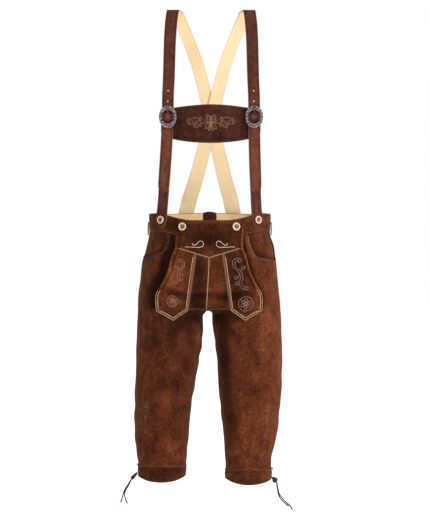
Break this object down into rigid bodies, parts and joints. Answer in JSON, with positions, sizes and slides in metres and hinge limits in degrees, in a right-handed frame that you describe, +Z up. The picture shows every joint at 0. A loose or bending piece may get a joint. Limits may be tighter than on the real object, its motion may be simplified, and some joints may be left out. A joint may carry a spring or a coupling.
{
  "type": "lederhosen",
  "caption": "Knee-length suede trousers with a drop front, knee bands tied with thongs and crossed braces joined by a chest bar; hollow, filled out as if worn, hung from the shoulders.",
  "frame": {"origin": "midway between the crowns of the two braces, at the height where they lie on the wearer's shoulders", "axes": "+Z up, the front faces -Y, +X is the viewer's right seen from the front"},
  "size_m": [0.4707, 0.2751, 1.3577],
  "materials": {
    "suede": "napped suede, mottled reddish brown",
    "dark_suede": "napped suede, dark brown",
    "lining": "smooth cream leather",
    "pewter": "aged pewter with cast relief",
    "horn": "polished pale horn",
    "thong": "dark rolled leather cord"
  },
  "bodies": {
    "root": {"front_panel_left": "suede", "front_panel_right": "suede", "back_panel_left": "suede", "back_panel_right": "suede", "pocket_facing_left": "suede", "pocket_facing_right": "suede", "waistband_front_left": "suede", "waistband_front_right": "suede", "waistband_back_left": "suede", "waistband_back_right": "suede", "waistband_facing_left": "lining", "waistband_facing_right": "lining", "back_gusset": "dark_suede", "knee_band_left": "suede", "knee_band_right": "suede", "belt_loop_side_left": "suede", "belt_loop_side_right": "suede", "belt_loop_back_left": "suede", "belt_loop_back_right": "suede", "flap_yoke": "suede", "fly_left": "suede", "fly_right": "suede", "tongue_left": "suede", "tongue_right": "suede", "brace_left": "dark_suede", "brace_right": "dark_suede", "brace_lining_left": "lining", "brace_lining_right": "lining", "brace_tab_left": "dark_suede", "brace_tab_right": "dark_suede", "chest_bar": "dark_suede", "buckle_left": "pewter", "buckle_right": "pewter", "prong_left": "pewter", "prong_right": "pewter", "brace_button_left": "horn", "brace_button_right": "horn", "flap_button_left": "horn", "flap_button_right": "horn", "back_button_left": "horn", "back_button_right": "horn", "knee_lace_knot_left": "thong", "knee_lace_knot_right": "thong", "knee_lace_left_a": "thong", "knee_lace_left_b": "thong", "knee_lace_right_a": "thong", "knee_lace_right_b": "thong"}
  },
  "joints": []
}
